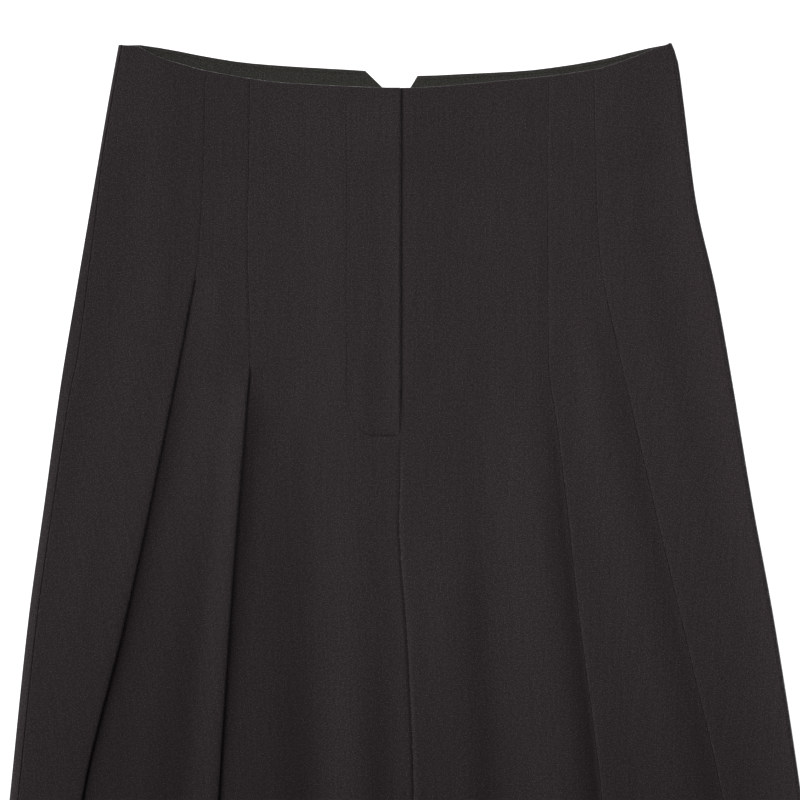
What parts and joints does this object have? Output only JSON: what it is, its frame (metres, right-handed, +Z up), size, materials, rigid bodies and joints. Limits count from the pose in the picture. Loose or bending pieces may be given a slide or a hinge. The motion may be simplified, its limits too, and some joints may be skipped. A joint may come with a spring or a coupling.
{
  "type": "palazzo trousers",
  "caption": "High-waisted wide-leg trousers lying flat, front up, with a notched back waist, a concealed zip fly and stitched-down tucks that open into long soft pleats.",
  "frame": {"origin": "on the floor, under the middle of the garment's box", "axes": "+Z up from the floor, +Y from the hems to the waist, -X towards the wearer's right leg; the garment lies on its back with the front up"},
  "size_m": [0.6684, 1.136, 0.0095],
  "materials": {
    "cloth": "near-black crepe suiting, matte, with a fine flecked twill",
    "cloth_inside": "the same crepe, seen from inside, faintly greener",
    "zip_tape": "woven polyester tape, matte black",
    "metal": "black nickel"
  },
  "bodies": {
    "root": {"right_front": "cloth", "left_front": "cloth", "right_back": "cloth", "left_back": "cloth", "right_back_facing": "cloth_inside", "left_back_facing": "cloth_inside", "fly_facing": "cloth_inside", "fly_shield": "cloth_inside", "zip_tape": "zip_tape", "zip_slider": "metal", "waist_hook": "metal", "waist_bar": "metal"}
  },
  "joints": []
}
